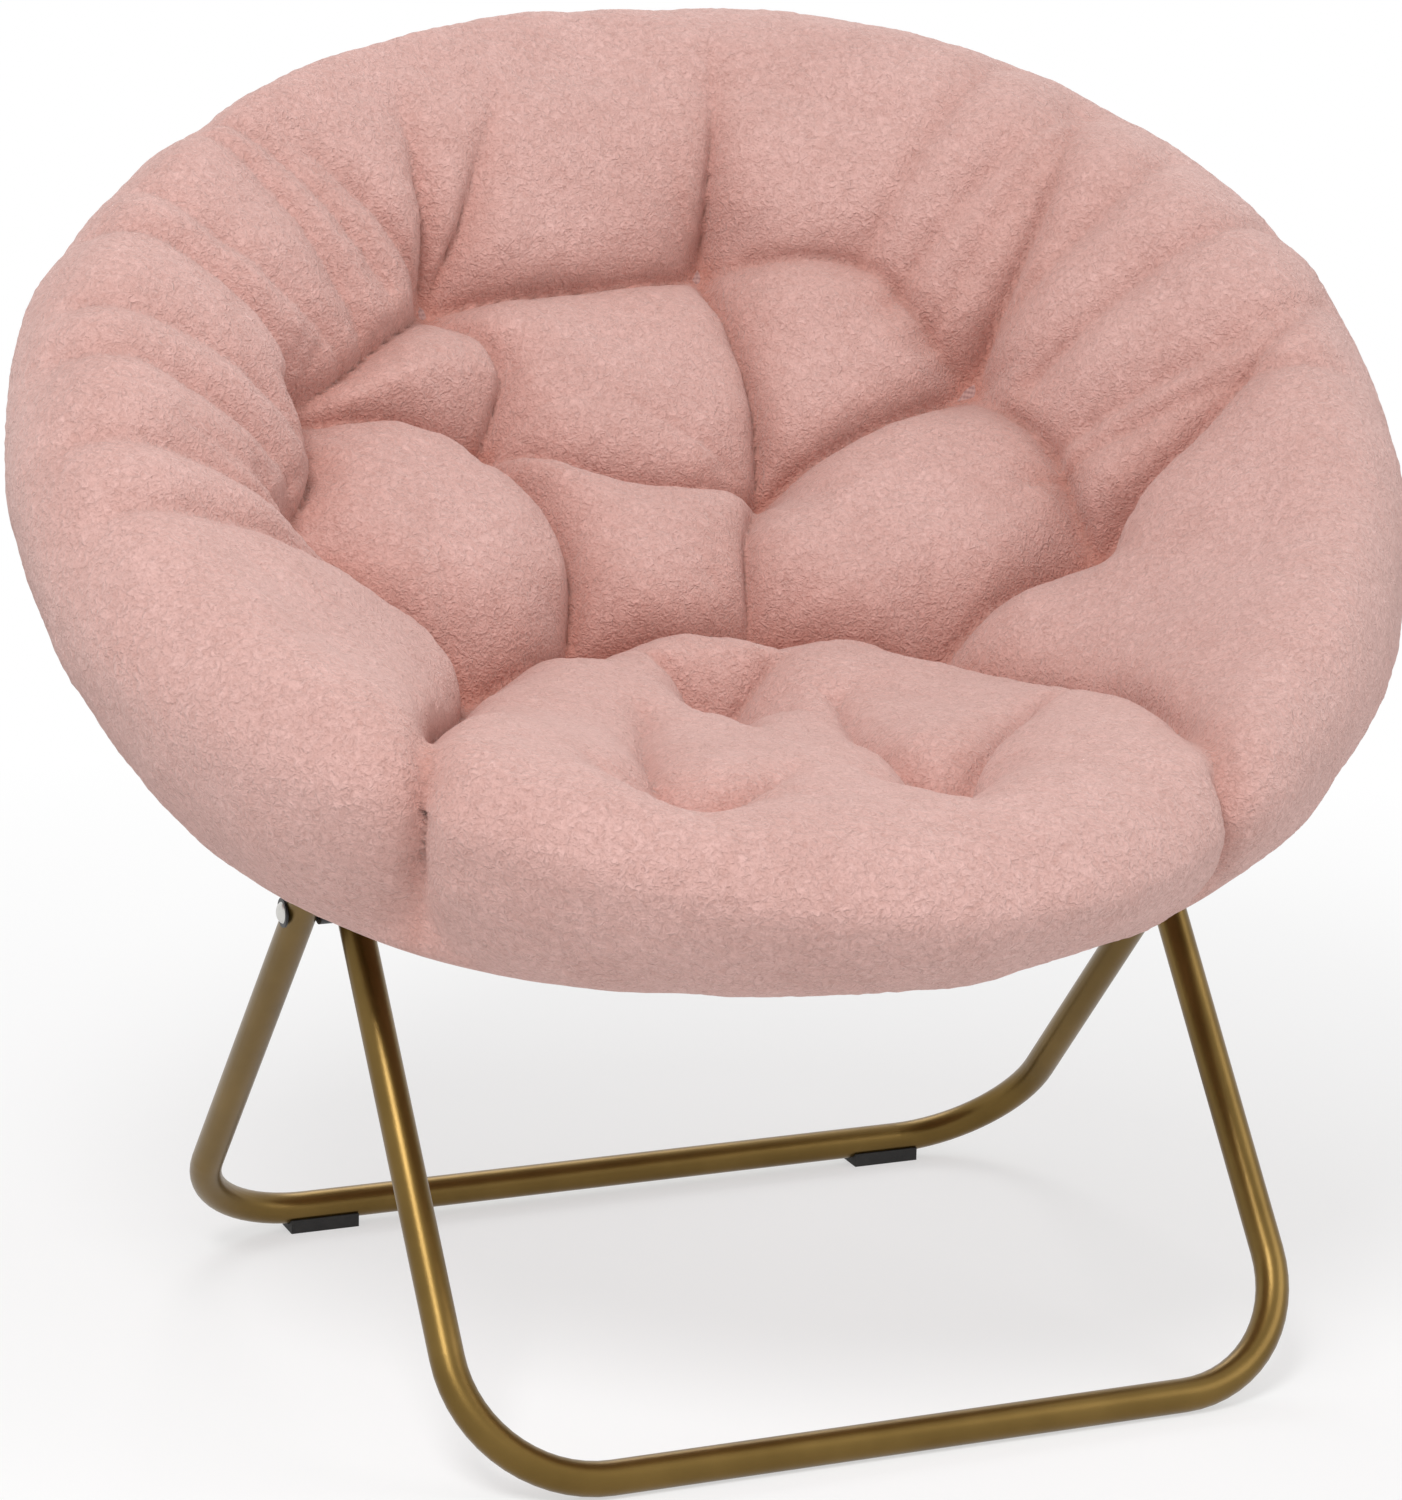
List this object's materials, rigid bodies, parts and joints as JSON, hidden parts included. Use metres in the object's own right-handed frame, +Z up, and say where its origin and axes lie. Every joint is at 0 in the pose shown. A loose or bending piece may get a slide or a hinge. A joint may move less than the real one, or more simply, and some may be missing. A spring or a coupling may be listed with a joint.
{
  "type": "folding saucer chair",
  "caption": "Folding lounge chair: a round tufted plush saucer cushion on a folding hoop, carried by two crossed U-shaped tube legs.",
  "frame": {"origin": "on the floor, under the middle of the whole chair", "axes": "+Z up, the sitter faces -Y, +X to the right of a viewer who stands in front of the chair and looks along +Y"},
  "size_m": [0.9712, 0.8001, 0.8587],
  "materials": {
    "plush": "short pink plush pile, tufted, matt with a soft sheen",
    "sleeve_cloth": "plain woven backing cloth",
    "gold_tube": "gold-brown metallic powder coat, satin",
    "bracket": "gold-brown metallic powder coat, satin",
    "rivet_steel": "bright steel",
    "black_plastic": "moulded black nylon",
    "black_rubber": "black rubber"
  },
  "bodies": {
    "front_leg": {"front_leg_cap_left": "black_plastic", "front_leg_cap_right": "black_plastic", "front_leg_tube": "gold_tube", "pivot_rivet_inner_left": "rivet_steel", "pivot_rivet_inner_right": "rivet_steel", "pivot_spacer_left": "black_plastic", "pivot_spacer_right": "black_plastic", "rear_lug_rivet_left": "rivet_steel", "rear_lug_rivet_right": "rivet_steel"},
    "rear_leg": {"front_lug_rivet_left": "rivet_steel", "front_lug_rivet_right": "rivet_steel", "pivot_rivet_outer_left": "rivet_steel", "pivot_rivet_outer_right": "rivet_steel", "pivot_washer_left": "black_plastic", "pivot_washer_right": "black_plastic", "rear_foot_pad_left": "black_rubber", "rear_foot_pad_right": "black_rubber", "rear_leg_cap_left": "black_plastic", "rear_leg_cap_right": "black_plastic", "rear_leg_tube": "gold_tube"},
    "rear_hoop": {"back_cushion": "plush", "hinge_rear_half_left": "bracket", "hinge_rear_half_right": "bracket", "hinge_rivet_left": "rivet_steel", "hinge_rivet_right": "rivet_steel", "rear_hoop_lug_left": "bracket", "rear_hoop_lug_right": "bracket", "rear_hoop_tube": "gold_tube", "rear_rim_sleeve": "sleeve_cloth", "side_rim_sleeve_left": "sleeve_cloth", "side_rim_sleeve_right": "sleeve_cloth"},
    "front_hoop": {"front_hoop_lug_left": "bracket", "front_hoop_lug_right": "bracket", "front_hoop_tube": "gold_tube", "front_rim_sleeve": "sleeve_cloth", "hinge_front_half_left": "bracket", "hinge_front_half_right": "bracket", "seat_cushion": "plush"}
  },
  "joints": [
    {"name": "hoop_fold", "type": "hinge", "parent": "rear_hoop", "child": "front_hoop", "pos_m": [0, -0.07077, 0.48142], "axis": [-1, 0, 0], "range_deg": [0, 120.16], "deforming": ["seat_cushion", "back_cushion"]},
    {"name": "rear_lug_pivot", "type": "hinge", "parent": "front_leg", "child": "rear_hoop", "pos_m": [0, 0.2582, 0.71074], "axis": [1, 0, 0], "range_deg": [0, 26.7]},
    {"name": "front_lug_pivot", "type": "hinge", "parent": "front_hoop", "child": "rear_leg", "pos_m": [0, -0.15357, 0.42371], "axis": [1, 0, 0], "range_deg": [0, 22.7]}
  ],
  "couplings": [
    {"joint": "rear_lug_pivot", "follows": "hoop_fold", "ratio": 0.22179},
    {"joint": "front_lug_pivot", "follows": "hoop_fold", "ratio": 0.18825}
  ]
}
